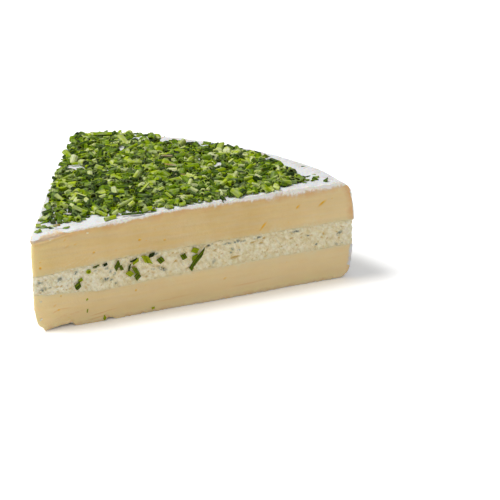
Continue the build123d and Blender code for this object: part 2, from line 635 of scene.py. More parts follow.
def waveBorder(layer, level):
    # the border with the filling wanders on each cut, the same in both layers that meet there
    seed = 73 if level is floorLevel else 83
    away = np.abs(layer.z - level(layer.r))
    for cutName, cut, near, s, inside, apart in nearCuts(layer, 12, away < 6 * mm):
        spots = np.column_stack([s, apart, 0 * s])
        shift = borderWave["long"] * grain(spots, 11, seed)
        shift = shift + borderWave["short"] * grain(spots, 2.6, seed + 6)
        if cutName == "front" and level is floorLevel:
            shift = shift - lookUp(s, borderWave["sag"])
        ends = rise(s, 0, 6) * ease((wheelRadius - 3 * mm - s) / (6 * mm))
        layer.moved[near, 2] += shift * ends * np.exp(-away[near] / (1.6 * mm) - inside / (3 * mm))
        more = np.clip(2.2 * grain(spots, 8, seed + 9), 0, 1)
        reach = borderWave["smear"] + borderWave["smearMore"] * more
        smear = np.where(inside < skinGap, np.exp(-away[near] / reach), 0)
        layer.marks["smear"][near] = np.maximum(layer.marks["smear"][near], smear)


def bumpSkin(layer):
    # dents and bumps of the rind, and on the rim the creases that run from top to base
    lifted = np.flatnonzero(layer.skin)
    r, z = layer.r[lifted], layer.z[lifted]
    rel = (layer.start - axisPoint)[lifted]
    bumps = pasteRelief["bump"] * (grain(rel, 9, 51) + 0.8 * grain(rel, 3, 57))
    onTop = z > topLevel(r) - 1.2 * mm
    onRim = ~onTop & (z > 1.2 * mm)
    unrolled = np.column_stack([layer.turn[lifted] * wheel["halfAngle"] * wheelRadius, z, 0 * z])
    creases = pasteRelief["crease"] * grain(unrolled, (3.2, 24, 1), 63)
    layer.moved[lifted[onTop], 2] += bumps[onTop]
    outward = rel / np.maximum(r, mm)[:, None]
    outward[:, 2] = 0
    layer.moved[lifted[onRim]] += (outward * (bumps + creases)[:, None])[onRim]


def roundTip(layer):
    # draws the sharp corner of the sector in to the tip's round edge
    r, turn = layer.r, layer.turn
    near = r < tipFlat
    bend = radians(60) * r / tipFlat
    x = wheel["tipRound"] * np.sin(bend) * turn
    y = (tipRecess + wheel["tipRound"]) - wheel["tipRound"] * np.cos(bend)
    y = y + r * (np.cos(wheel["halfAngle"] * turn) - cos(wheel["halfAngle"]))
    layer.moved[near, 0] += (x - r * np.sin(wheel["halfAngle"] * turn))[near]
    layer.moved[near, 1] += (y - r * np.cos(wheel["halfAngle"] * turn))[near]


def finishLayer(piece, layer, material, node, marks, painted):
    writePoints(piece, axisPoint + layer.moved)
    for name in marks:
        paint(piece, name, layer.marks[name])
    for name, values in painted.items():
        paint(piece, name, values)
    finishPiece(piece, material, 55)
    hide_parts(node)


# Pits in the paste, where gas left small holes
upperPits = marksOn([
    (46.4, 31.2, 0.65, 0.45, 10, 1.0), (57.4, 29.5, 0.5, 0.35, 0, 0.8), (26.6, 29.1, 0.5, 0.4, 30, 0.9),
    (3.8, 26.4, 0.45, 0.5, 0, 1.0), (3.9, 28.7, 0.4, 0.25, 0, 0.6), (36.0, 28.6, 0.35, 0.25, 0, 0.4),
    (18.8, 33.7, 0.7, 0.25, 10, 0.5), (15.4, 33.4, 1.1, 0.25, 30, 0.35), (14.5, 36.2, 0.7, 0.3, 40, 0.5),
    (118.0, 34.3, 1.05, 0.38, 42, 1.0), (129.4, 34.3, 2.0, 0.42, 32, 1.0),
    (102.1, 28.5, 1.8, 0.44, 48, 1.0),
], [
    (31.0, 30.5, 0.6, 0.4, 20, 0.9), (62.0, 33.0, 1.4, 0.34, 25, 1.0), (88.0, 29.5, 0.5, 0.35, 0, 0.8),
    (111.0, 32.0, 1.6, 0.36, -30, 1.0), (127.0, 28.4, 0.6, 0.3, 0, 0.8),
])
lowerPits = marksOn([
    (12.1, 13.8, 0.4, 0.3, 0, 0.9), (11.0, 7.8, 0.55, 0.3, 12, 1.0), (9.3, 9.9, 0.8, 0.25, 35, 0.45),
    (44.3, 10.5, 0.4, 0.45, -50, 0.9), (84.0, 9.0, 0.8, 0.3, 20, 0.6),
], [
    (22.0, 9.0, 0.7, 0.35, 10, 0.9), (58.0, 6.5, 1.5, 0.3, 5, 0.8), (97.0, 10.5, 0.5, 0.4, 0, 0.8),
    (120.0, 7.0, 1.2, 0.3, -20, 0.7),
])
# Orange-brown scores along the lower half
lowerStains = marksOn([
    (29.5, 3.6, 5.5, 0.22, 7, 0.6), (13.2, 8.0, 2.6, 0.2, -2, 0.45), (9.6, 7.4, 1.4, 0.25, 25, 0.5),
    (17.5, 5.4, 5.0, 0.2, 10, 0.35), (26.5, 1.7, 5.0, 0.35, 7, 0.45), (12.0, 4.8, 3.0, 0.2, 20, 0.3),
    (60.0, 4.2, 8.0, 0.25, 3, 0.3), (96.0, 5.0, 10.0, 0.25, 2, 0.35),
], [
    (33.0, 4.0, 7.0, 0.25, 5, 0.5), (78.0, 5.2, 9.0, 0.25, -3, 0.4), (112.0, 3.0, 8.0, 0.3, 2, 0.4),
])
# Pale strokes where the knife dragged filling up over the paste
upperSmears = marksOn([
    (14.5, 25.2, 5.5, 0.22, 20, 0.55), (20.0, 26.2, 4.6, 0.2, 28, 0.5), (25.0, 27.0, 3.6, 0.2, 34, 0.4),
    (17.0, 27.6, 5.0, 0.2, 24, 0.3), (33.0, 26.6, 4.0, 0.25, 8, 0.3),
], [
    (40.0, 26.8, 6.0, 0.25, 12, 0.5), (47.0, 27.8, 5.0, 0.25, 16, 0.4), (105.0, 27.0, 7.0, 0.25, 8, 0.45),
])
pasteRelief = {
    "wave": 0.7 * mm, "lump": 0.16 * mm, "streak": 0.12 * mm, "crumb": 0.03 * mm, "torn": 0,
    "fray": 0.38 * mm, "frayDepth": 1.6 * mm, "lip": 0.6 * mm, "rounded": 0.35 * mm,
    "pitDepth": 0.8, "bump": 0.45 * mm, "crease": 0.8 * mm,
}
fillingRelief = {
    "wave": 0.7 * mm, "lump": 0.26 * mm, "streak": 0.08 * mm, "crumb": 0.26 * mm, "torn": 0.34 * mm,
    "fray": 0, "frayDepth": 1.0 * mm, "lip": 0, "rounded": 0, "pitDepth": 1.1,
}
# How thick the white is on each cut, under the top: (along the cut, thickness), in mm
whiteDepth = {
    "front": [
        (0, 0.3), (14, 0.4), (20, 0.6), (28, 0.9), (36, 1.3), (40, 1.2), (50, 1.1), (58, 0.75), (66, 0.8),
        (72, 1.2), (80, 1.6), (90, 1.35), (100, 1.6), (114, 2.1), (120, 2.3), (126, 2.1), (132, 1.7),
        (145, 1.4),
    ],
    "back": [
        (0, 0.3), (14, 0.5), (30, 1.2), (48, 0.9), (60, 1.5), (85, 1.9), (100, 1.3), (122, 1.8),
        (145, 1.4),
    ],
}
ridge = {       # along the rim
    "from": 126 * mm,
    "over": 8 * mm,
    "lift": 1.1 * mm,
    "sunk": 2.0 * mm,       # how far it sinks at its back corner
    "sunkFrom": 50,         # degrees from the front cut
}
# The row of short dents that a rack left in the top, near the rim
rackDents = {"from": 133.5 * mm, "to": 138 * mm, "apart": 2.9 * mm, "wide": 0.35 * mm, "deep": 0.16 * mm}


def dentTop(layer):
    r, turn = layer.r, layer.turn
    top = np.flatnonzero(layer.skin & (layer.z > wheel["height"] - 3 * mm))
    place = turn[top] * wheel["halfAngle"] * wheelRadius / rackDents["apart"]
    number = np.rint(place)
    dice = random.Random(12)
    traits = {n: (dice.uniform(-0.25, 0.25), dice.uniform(-0.8, 1.2) * mm, max(0, dice.uniform(-0.3, 1)))
              for n in range(int(number.min()), int(number.max()) + 1)}
    skew, start, strength = np.array([traits[int(n)] for n in number]).T
    across = (place - number - skew * 0.4) * rackDents["apart"] / rackDents["wide"]
    inner = rise(r[top] - rackDents["from"] - start, 0, 0.8)
    outer = rise(rackDents["to"] + start - r[top], 0, 0.8)
    dash = strength * np.exp(-(across**2)) * inner * outer
    layer.moved[top, 2] -= rackDents["deep"] * dash
    angle = (1 - turn) * np.degrees(wheel["halfAngle"])
    high = ease((layer.z - wheel["height"] + 5 * mm) / (4 * mm))
    near = ease((r - ridge["from"]) / ridge["over"]) * high
    layer.moved[:, 2] += ridge["lift"] * near * ease((angle - 1) / 7) * ease((59 - angle) / 12)
    layer.moved[:, 2] -= cornerSag(r, angle) * high
    dashes = np.zeros(len(r))
    dashes[top] = dash
    return dashes


def facePlaces(piece):
    # how far each face lies from the axis, its height, and how far it faces up
    centres, normals = faceCentres(piece)
    r = np.hypot(centres[:, 0] - axisPoint[0], centres[:, 1] - axisPoint[1])
    return r, centres[:, 2], normals[:, 2]


def makeUpper(material):
    piece = buildLayer("upperPaste", ceilingLevel, topLevel, 18)
    refine(piece, cutFaces(piece))
    pits = upperPits + scatterMarks(5, 16, ceilingLevel, topLevel, (0.2, 0.4), (0.3, 0.8))
    r, z, _ = facePlaces(piece)
    refine(piece, cutFaces(piece) & (skinDepth(r, z) < 2.2 * mm) | nearRows(piece, pits, 0.5))
    r, _, up = facePlaces(piece)
    refine(piece, (up > 0.9) & (r > rackDents["from"] - 2 * mm) & (r < rackDents["to"] + 2 * mm), 2)
    layer = measureLayer(piece)
    shapeCuts(layer, pasteRelief, {"pit": pits, "smear": upperSmears})
    waveBorder(layer, ceilingLevel)
    bumpSkin(layer)
    dash = dentTop(layer)
    # on the cuts the white is thinner at the tip, and thinnest down the rim
    r, z, depth = layer.r, layer.z, layer.depth
    fromRim, underTop = rimRadius(z) - r, topLevel(r) - z
    thinner = 1 + 3 * ease((underTop - fromRim) / (2 * mm) + 0.6) * (fromRim < 8 * mm)
    bandDepth = depth.copy()
    for cutName, cut in cuts.items():
        along, inside = onCut(layer.start, cut)
        onFace = np.flatnonzero((inside < skinGap) & (fromRim > 2 * mm))
        thickness = lookUp(along[onFace], whiteDepth[cutName])
        thinner[onFace] *= pasteLook["rindThick"] / thickness
        bandDepth[onFace] += pasteLook["rindThick"] - thickness
    # near the tip the white stops short of the front edge, and the lip there is torn
    inside = np.maximum(onCut(layer.start, cuts["front"])[1], 0)
    atTip = (1 - rise(r, 10, 7)) * (underTop < 4 * mm)
    low = np.maximum(underTop - 0.7 * mm, 0) / (0.8 * mm)
    lip = atTip * np.exp(-(low**2) - (inside / (4 * mm)) ** 2)
    short = 3.2 * mm * atTip * rise(r, 1, 5) * np.exp(-inside / (2.2 * mm))
    roundTip(layer)
    finishLayer(piece, layer, material, "upper_paste", ("pit", "smear", "stain"), {
        # pale is painted light: the paste is painted lighter toward the rim
        "rindDepth": depth * thinner + short, "bandDepth": bandDepth, "pale": 0.33 * rise(r, 100, 35),
        # tip is painted light: a glow that fades out from the tip
        "tip": np.exp(-r / (6 * mm)), "dash": dash, "below": 0 * r, "lip": lip,
        "cut": np.abs(layer.turn) > 0.9999,
    })


foot = {
    "height": 10.5 * mm,            # how far up the tip a chunk has broken off
    "reach": (15.5 * mm, 5 * mm),   # along the base, at the back cut and at the front one
    "bow": (1.0, 0.48),             # 1 is a straight break, and less is a hollow one
    "rough": 0.7 * mm,
}
# How far the lower edge of each cut stands off the base: (along, rise), in mm
edgeRise = {
    "front": [
        (5, 0), (7.8, 0.6), (11.2, 1.1), (14.6, 1.2), (16.8, 1.8), (17.7, 0.2), (18.5, 0), (30.6, 0),
        (31.6, 1.3), (33.8, 0.8), (35, 0),
    ],
    "back": [
        (15, 0), (24, 1.2), (26, 0.2), (54, 0), (55.5, 1.6), (58, 1.1), (60, 0), (99, 0), (101, 1.3),
        (103, 0),
    ],
}


def breakFoot(layer):
    # lifts the underside of the tip to the broken face, and squeezes what is above it
    r, z = layer.r, layer.z
    share = (layer.turn + 1) / 2
    reach, bow = [foot[key][0] + (foot[key][1] - foot[key][0]) * share for key in ("reach", "bow")]
    rough = foot["rough"] * grain(layer.start - axisPoint, (2.2, 2.2, 5), 31)
    broken = foot["height"] * (1 - (r / reach) ** bow)
    lift = np.where(r < reach, np.maximum(broken + rough * np.clip(broken / mm, 0, 1), 0), 0)
    layer.moved[:, 2] += lift * (1 - z / floorLevel(r))
    return lift


def ruffleEdge(layer):
    for cutName, cut, near, s, inside, apart in nearCuts(layer, 8, layer.z < 5 * mm):
        spots = np.column_stack([s, 0 * s, apart])
        ragged = np.clip(grain(spots, 3.5, 61) + 0.7 * grain(spots, 1.2, 67), 0, 1) * 0.4 * mm
        lift = lookUp(s, edgeRise[cutName]) + ragged
        lift = lift * np.exp(-inside / (2 * mm)) * np.clip(1 - layer.z[near] / (4.5 * mm), 0, 1)
        layer.moved[near, 2] += lift
        layer.moved[near] -= np.outer(lift * 0.35, cut["out"])


def makeLower(material):
    piece = buildLayer("lowerPaste", baseLevel, floorLevel, 16)
    refine(piece, cutFaces(piece))
    pits = lowerPits + scatterMarks(6, 14, baseLevel, floorLevel, (0.2, 0.4), (0.3, 0.8))
    edge = cutFaces(piece) & (facePlaces(piece)[1] < 2 * mm)
    refine(piece, edge | nearRows(piece, pits + lowerStains[:3], 0.4))
    layer = measureLayer(piece)
    shapeCuts(layer, pasteRelief, {"pit": pits, "stain": lowerStains})
    waveBorder(layer, floorLevel)
    bumpSkin(layer)
    ruffleEdge(layer)
    roundTip(layer)
    lift = breakFoot(layer)
    layer.moved[:, 2] = np.maximum(layer.moved[:, 2], 0)
    # on the cuts the rind below is thin and browned, and near the tip it is gone
    r, z, depth = layer.r, layer.z, layer.depth
    rindDepth = np.where(z < 5 * mm, depth * 4, depth)
    rindDepth = rindDepth + np.where(np.abs(layer.turn) > 0.9999, 1.3 * mm * (1 - rise(r, 35, 25)), 0)
    rindDepth = np.where(lift > 0.05 * mm, 5 * mm, rindDepth)
    finishLayer(piece, layer, material, "lower_paste", ("pit", "smear", "stain"), {
        "rindDepth": rindDepth, "bandDepth": 1.6 * depth + 1.0 * mm + 0.25 * lift,
        # pale is painted light: the lower half is painted lighter, more toward the rim, and most along the
        # base, where the floor's shade falls
        "pale": 0.34 + 0.12 * rise(r, 50, 40) + 0.3 * fall(z, 3, 3),
        # tip is painted light: a glow at the tip, and along the lowest 5 mm
        "tip": np.maximum(np.exp(-r / (6 * mm)), 0.9 * fall(z, 5, 5)),
        "dash": 0 * r, "below": fall(z, 1.6, 1.2), "lip": 0 * r, "cut": 0 * r,
    })


# Herbs sunk in the filling
herbMarks = marksOn([
    (11.8, 20.2, 1.3, 1.0, 30, 0.7), (3.5, 20.3, 1.3, 0.9, 0, 0.65), (4.6, 17.4, 1.5, 0.8, 20, 0.65),
    (7.4, 17.9, 0.9, 0.5, 0, 0.4), (18.4, 22.0, 1.0, 0.6, 30, 0.7), (27.4, 23.0, 1.3, 0.4, 12, 0.85),
    (31.1, 23.2, 0.9, 0.7, 20, 1.0), (32.0, 21.7, 0.8, 0.5, 20, 0.85), (33.4, 20.2, 0.7, 0.6, 0, 0.75),
    (31.6, 17.4, 1.4, 0.6, 10, 0.75), (35.2, 18.8, 0.8, 0.5, 60, 0.65), (35.8, 15.4, 0.7, 0.5, 0, 0.85),
    (42.0, 20.6, 0.8, 1.0, 0, 0.7), (56.3, 17.4, 1.9, 0.7, -25, 0.8), (52.9, 24.2, 1.5, 0.7, 10, 0.9),
    (77.2, 24.2, 1.3, 0.45, 12, 1.0), (85.6, 23.7, 2.4, 0.45, 5, 0.6), (92.0, 23.4, 1.8, 0.35, 8, 0.5),
    (87.5, 21.0, 0.9, 0.6, -30, 0.6), (90.4, 20.0, 0.7, 0.5, 0, 0.6), (79.0, 17.0, 1.5, 0.7, 60, 0.4),
    (99.4, 23.9, 1.9, 0.5, 5, 0.7), (117.1, 23.7, 1.7, 0.6, 0, 0.7),
])
# Holes in it, and then four cracks
fillingHoles = marksOn([
    (88.8, 17.3, 2.2, 0.5, 6, 1.0), (97.1, 22.2, 1.5, 0.45, 6, 0.9), (101.2, 21.3, 1.1, 0.4, 0, 0.9),
    (79.7, 21.7, 0.7, 0.3, 10, 0.9), (49.2, 15.6, 0.7, 0.3, 0, 0.9), (66.5, 22.3, 0.9, 0.35, 35, 0.8),
    (16.8, 18.6, 3.4, 0.16, 85, 0.3), (8.8, 20.0, 2.8, 0.14, 60, 0.25),
    (27.0, 18.0, 2.4, 0.14, -55, 0.25), (63.0, 18.6, 2.6, 0.16, -50, 0.3),
])


def makeFillingLayer(material):
    piece = buildLayer("herbFilling", floorLevel, ceilingLevel, 12, wheel["fillingSetBack"])
    refine(piece, cutFaces(piece), 2)
    pits = fillingHoles + scatterMarks(7, 430, floorLevel, ceilingLevel, (0.2, 0.66), (0.5, 1.0))
    herbs = herbMarks + scatterMarks(8, 44, floorLevel, ceilingLevel, (0.5, 1.5), (0.3, 0.8), 0.3)
    layer = measureLayer(piece)
    shapeCuts(layer, fillingRelief, {"pit": pits, "herb": herbs})
    waveBorder(layer, ceilingLevel)
    waveBorder(layer, floorLevel)
    # the filling's rim is crumbly where it shows between the two rinds
    r, z, herb = layer.r, layer.z, layer.marks["herb"]
    rim = np.flatnonzero(r > rimRadius(z) - wheel["fillingSetBack"] - 0.1 * mm)
    rel = (layer.start - axisPoint)[rim]
    crumbs = 0.5 * mm * grain(rel, 2, 71) + 0.35 * mm * grain(rel, 0.9, 73)
    outward = rel / r[rim][:, None]
    outward[:, 2] = 0
    layer.moved[rim] += outward * crumbs[:, None]
    rimHerb = np.clip(5 * (grain(rel, (3, 3, 1.6), 79) - 0.27), 0, 0.55)
    herb[rim] = np.maximum(herb[rim], rimHerb)
    roundTip(layer)
    warm = rise(r, 18, 24) * (1 - 0.6 * rise(r, 138, 5))
    finishLayer(piece, layer, material, "herb_filling", ("pit", "smear", "herb"), {"warm": warm})


# Chopped chives: a hollow leaf cut across and along, each bit made from one of three shapes

chiveLeaf = {       # in mm, and a value for each shape where there are three
    "wall": 0.34,
    "rough": 0.06,
    "ring": {"length": 2.7, "across": 2.3, "squash": (0.6, 0.75, 0.92), "slant": (0.25, -0.35, 0.05)},
    "curl": {"length": 2.8, "radius": (1.2, 1.05, 1.4), "arc": (3.0, 4.4, 2.2), "slant": (0.25, -0.3, 0.05)},
    "chip": {"length": (2.3, 2.5, 3.7), "width": (2.2, 2.3, 1.7), "slant": (0.15, 0.45, -0.35),
             "curve": (0.1, 0.25, -0.2)},
    "sliver": {"length": 7.5, "width": 1.4, "bow": (0.8, -0.5, 0.15), "twist": (0.7, -1.2, 0.15)},
    "fleck": {"length": (1.3, 0.9, 1.9), "width": (0.8, 0.7, 0.5), "height": 0.35},
}


def startShape(name, seed, points):
    # gives a fresh primitive its name and its points, in mm, a little out of true
    piece = bpy.context.object
    piece.name = piece.data.name = name
    dice = random.Random(seed)
    rough = [[dice.uniform(-1, 1) * chiveLeaf["rough"] * mm for _ in range(3)] for _ in points]
    writePoints(piece, points * mm + rough)
    return piece


def leafShape(name, seed, points, veins, wall=1):
    # gives a sheet its wall, and marks the inner side, which is paler, and the leaf's veins
    piece = startShape(name, seed, points)
    selectOnly(piece)
    solid = piece.modifiers.new("wall", "SOLIDIFY")
    solid.thickness = chiveLeaf["wall"] * mm * wall
    solid.offset = -1
    bpy.ops.object.modifier_apply(modifier="wall")
    paint(piece, "inside", np.repeat([0, 1], len(veins)))
    paint(piece, "vein", np.tile(veins, 2))
    return piece


def veinsOf(unit, folds):
    return np.rint((unit[:, 1] + 0.5) * folds).astype(int) % 2


def makeRing(index):
    # a slice across the leaf
    size = chiveLeaf["ring"]
    bpy.ops.object.select_all(action="DESELECT")
    bpy.ops.mesh.primitive_cylinder_add(
        vertices=10, radius=0.5, depth=1, end_fill_type="NOTHING", rotation=(0, pi / 2, 0),
    )
    bpy.ops.object.transform_apply(location=False, rotation=True, scale=False)
    unit = readPoints(bpy.context.object)
    points = unit * (size["length"], size["across"], size["across"] * size["squash"][index])
    points[:, 0] += size["slant"][index] * points[:, 1]
    around = np.rint(np.arctan2(unit[:, 2], unit[:, 1]) / (pi / 5)).astype(int)
    return leafShape(f"ring{index}", 100 + index, points, around % 2)


def makeCurl(index):
    # a leaf split along its length and half opened
    size = chiveLeaf["curl"]
    unit = startGrid(2, 6)
    radius, bend = size["radius"][index], unit[:, 1] * size["arc"][index]
    middle = (1 + cos(size["arc"][index] / 2)) / 2
    points = np.column_stack([
        unit[:, 0] * size["length"], radius * np.sin(bend), radius * (np.cos(bend) - middle),
    ])
    points[:, 0] += size["slant"][index] * points[:, 1]
    return leafShape(f"curl{index}", 200 + index, points, veinsOf(unit, 6))


def makeChip(index):
    # a piece of leaf pressed flat
    size = chiveLeaf["chip"]
    unit = startGrid(2, 4)
    veins = veinsOf(unit, 4)
    points = unit * (size["length"][index], size["width"][index], 1)
    points[:, 0] += size["slant"][index] * points[:, 1]
    points[:, 2] = 0.5 * np.cos(unit[:, 1] * 2.2) + 0.1 * veins + size["curve"][index] * unit[:, 0] ** 2
    return leafShape(f"chip{index}", 300 + index, points, veins, 1.5)


def makeSliver(index):
    # a long strip of leaf, pointed at one end
    size = chiveLeaf["sliver"]
    unit = startGrid(6, 2)
    points = unit * (size["length"], size["width"], 1)
    share = unit[:, 0] + 0.5
    points[:, 1] *= np.clip(1.2 - 0.95 * share**2, 0.2, 1)
    points[:, 2] = points[:, 1] * np.sin(size["twist"][index] * share) * 0.6 + 0.3 * np.sin(share * pi)
    points[:, 1] += size["bow"][index] * np.sin(share * pi)
    return leafShape(f"sliver{index}", 400 + index, points, veinsOf(unit, 2), 1.3)


def makeFleck(index):
    # the dust and splinters of chopping
    size = chiveLeaf["fleck"]
    bpy.ops.object.select_all(action="DESELECT")
    bpy.ops.mesh.primitive_cube_add(size=1)
    points = readPoints(bpy.context.object) * (size["length"][index], size["width"][index], size["height"])
    piece = startShape(f"fleck{index}", 500 + index, points)
    for name in ("inside", "vein"):
        paint(piece, name, np.zeros(len(points)))
    return piece


# How chives lie on the top
coat = {
    # bare rind reaches in from each edge by so much: (along the edge, bare), in mm
    "bareFront": [
        (0, 16), (9, 14.5), (12, 13), (14, 10.5), (16.5, 9.2), (20, 9.5), (22, 7.6), (24.5, 9), (27, 9.4),
        (31.4, 12.5), (36, 8.6), (47, 6.5), (54, 3.2), (60, 2.6), (85, 2.4), (100, 2.4), (108, 2.8),
        (114, 4.5), (120, 7.5), (145, 9),
    ],
    "bareBack": [
        (0, 3), (10, 1.5), (15, 0.8), (19, 0.8), (23, 1.4), (27, 2.6), (33, 2.6), (42, 2.2), (48, 1.4),
        (145, 1.2),
    ],
    # and here the first is degrees from the front cut
    "bareRim": [
        (0, 17), (7, 15), (11, 12), (16, 9.5), (22, 5.5), (28, 5), (31, 4.8), (34, 6.5), (37, 8.5),
        (40, 7.5), (43, 3.5), (46, 2), (60, 2.2),
    ],
    "cell": 0.5 * mm,
    "deepest": 0.5 * mm,        # how high a bit may rest above the rind
    "sink": 0.45 * mm,          # how far it sinks between those under it
    "hang": 0.3 * mm,           # how far it may stick out past the back cut
    # the lighter tint there is painted light
    "thinTip": 38 * mm,         # inside this radius the coat thins out, and gets a little lighter
    "smallTip": 45 * mm,        # and inside this one the bits get smaller
    "patchy": 0.85,             # how much lighter and darker the coat gets from place to place
    "long": (0.65, 1.45),       # how much longer or shorter a bit may be
    "wide": (0.85, 1.15),
    "tries": 6,                 # spots looked at for each bit, which takes the lowest
    # what share of the bits has a tint up to each line's, and between what values it lies
    "tints": [(0.03, 0.0, 0.05), (0.3, 0.08, 0.2), (0.72, 0.22, 0.44), (0.935, 0.46, 0.66), (1, 0.68, 0.8)],
    # how many bits, their length, width and thickness in mm, and how much they tip
    "kinds": {
        "rings": (1350, 2.7, 2.3, 1.6, 0.24),
        "curls": (640, 2.8, 2.3, 1.2, 0.28),
        "chips": (560, 2.7, 2.2, 0.55, 0.34),
        "slivers": (90, 7.0, 1.3, 0.6, 0.06),
        "flecks": (500, 1.3, 0.8, 0.35, 0.2),
    },
}
# White gaps in the coat: (along the back cut, in from it, half length, half width)
barePatches = [
    (85.6, 6.7, 5.4, 4.6), (114.9, 24.6, 6.0, 2.4), (97.4, 39.9, 3.1, 0.9), (53.5, 30.9, 2.9, 1.0),
    (34.9, 5.1, 4.1, 1.2), (32.9, 10.7, 2.5, 1.8), (99.2, 60.0, 5.2, 2.4), (90.7, 67.7, 6.6, 2.5),
    (62.4, 98.9, 4.0, 1.9), (127.6, 42.9, 4.0, 2.8), (75.6, 20.9, 2.5, 0.8),
]
# Bits that lie alone on the bare rind: (along the front cut, in from it)
looseBits = [
    (133.4, 4.0), (131.5, 9.5), (128.6, 6.6), (127.0, 8.5), (135.0, 14.5), (133.0, 18.0), (124.0, 5.2),
    (129.5, 12.5), (5.8, 6.0), (7.0, 7.2), (10.6, 7.6), (11.4, 6.5), (9.3, 8.6), (13.0, 8.4), (16.7, 3.7),
    (8.0, 11.0), (53.4, 1.9), (50.5, 3.0), (134.0, 24.0), (131.0, 21.0), (130.6, 7.6), (132.8, 12.0),
    (126.2, 11.0),
]
# Bits that stand out of the coat: (kind, along the front cut, in from it, degrees from the cut, pitch,
# height above the rind, length, width, tint)
topBits = [
    ("rings", 45.7, 11.7, 25, 5, 2.2, 3.74, 0.74, 0.56),
    ("rings", 71.7, 59.1, -25, 0, 2.4, 2.21, 0.67, 0.6),
    ("rings", 66.5, 62.7, -18, 0, 2.2, 2.15, 0.5, 0.36),
    ("rings", 37.3, 52.7, 16, 8, 2.2, 2.84, 0.6, 0.5),
    ("rings", 25.3, 31.0, -64, -30, 2.2, 1.4, 0.87, 0.66),
    ("chips", 58.7, 22.6, 5, 38, 2.6, 1.64, 1.12, 0.58),
    ("rings", 64.6, 42.0, 19, 40, 2.4, 1.35, 0.94, 0.66),
    ("rings", 79.8, 81.2, 9, 15, 2.2, 2.68, 0.54, 0.46),
    ("curls", 78.3, 107.9, -20, 0, 3.4, 2.93, 1.14, 0.44),
    ("rings", 51.5, 84.7, -75, -25, 2.0, 1.6, 1.21, 0.52),
    ("rings", 50.1, 73.4, -17, 0, 1.0, 1.02, 0.54, 0.54),
    ("curls", 27.6, 15.2, -36, -20, 2.2, 2.17, 1.01, 0.5),
    ("rings", 33.8, 8.3, -45, -20, 1.3, 1.69, 0.67, 0.54),
    ("rings", 34.7, 2.1, 9, 0, 0.9, 1.88, 0.74, 0.58), ("rings", 38.6, 5.6, 4, 30, 1.3, 1.05, 0.74, 0.62),
    ("rings", 44.2, 1.7, -13, 0, 0.9, 3.29, 0.44, 0.16),
    ("rings", 50.8, 2.1, -6, 10, 1.3, 1.45, 0.81, 0.5),
    ("rings", 47.2, 9.4, 3, 30, 2.0, 0.99, 0.87, 0.72),
    ("rings", 57.8, 6.9, -1, 15, 1.5, 1.6, 0.81, 0.72),
    ("rings", 64.8, 11.4, -59, -28, 2.0, 1.3, 0.6, 0.62),
    ("rings", 68.4, 5.4, -65, -30, 1.5, 1.04, 0.74, 0.8),
    ("rings", 79.3, 21.6, 39, 40, 2.4, 1.13, 0.74, 0.72),
    ("rings", 76.3, 11.9, -50, -20, 2.3, 1.18, 0.81, 0.76),
    ("rings", 76.4, 5.7, -57, -12, 1.4, 3.26, 0.57, 0.18),
    ("rings", 90.3, 14.1, 2, 30, 2.3, 1.71, 0.87, 0.6),
    ("rings", 100.6, 22.5, 29, 40, 2.3, 1.24, 0.81, 0.72),
    ("rings", 109.4, 33.7, -17, 0, 2.3, 1.03, 0.6, 0.66),
    ("rings", 103.6, 16.3, -14, 5, 2.3, 1.35, 0.74, 0.6),
    ("chips", 96.2, 2.8, -17, 10, 0.9, 1.38, 0.91, 0.62),
    ("rings", 106.2, 1.9, -53, -15, 1.0, 1.11, 0.57, 0.74),
    ("curls", 118.7, 55.9, -3, 0, 2.0, 2.03, 0.74, 0.64),
    ("rings", 88.1, 62.1, -34, 0, 2.2, 1.75, 0.44, 0.98),
    ("chips", 83.6, 49.4, -36, -5, 2.2, 1.3, 0.63, 0.98),
    ("rings", 81.0, 34.7, -28, 0, 2.2, 1.52, 0.27, 0.98),
    ("rings", 13.2, 4.8, -10, 0, 1.6, 1.0, 0.4, 0.98),
    ("rings", 31.5, 43.4, -105, 64, 2.2, 0.55, 1.95, 0.48),
]


def chiveTint(dice):
    # from dark to pale
    pick = dice.random()
    for share, low, high in coat["tints"]:
        if pick < share:
            return dice.uniform(low, high)


def patchAt(x, y, size, seed):
    return noise.noise(Vector((x / (size * mm), y / (size * mm), seed)))


def fromAxis(x, y):
    # the radius, and the angle from the middle of the wedge
    relX, relY = x - axisPoint[0], y - axisPoint[1]
    return hypot(relX, relY), atan2(relX, relY)


def rindLevel(x, y):
    r, angle = fromAxis(x, y)
    return topLevel(r) - cornerSag(r, np.degrees(wheel["halfAngle"] - angle))


def startHeap():
    # the height of what has settled so far, on a grid over the top
    low = np.array([topBox[0].x, topBox[0].y]) - 4 * mm
    count = np.ceil((np.array([topBox[1].x, topBox[1].y]) + 4 * mm - low) / coat["cell"]).astype(int)
    sides = [low[axis] + (np.arange(count[axis]) + 0.5) * coat["cell"] - axisPoint[axis] for axis in (0, 1)]
    gridX, gridY = np.meshgrid(*sides, indexing="ij")
    r, angle = np.hypot(gridX, gridY), np.arctan2(gridX, gridY)
    level = topLevel(r) - cornerSag(r, np.degrees(wheel["halfAngle"] - angle))
    level[(r > rimRadius(wheel["height"]) - 1.2 * mm) | (np.abs(angle) > wheel["halfAngle"])] -= 1.0 * mm
    return {"low": low, "count": count, "level": level}


def heapCells(heap, points):
    where = ((points - heap["low"]) / coat["cell"]).astype(int)
    return np.clip(where[:, 0], 0, heap["count"][0] - 1), np.clip(where[:, 1], 0, heap["count"][1] - 1)


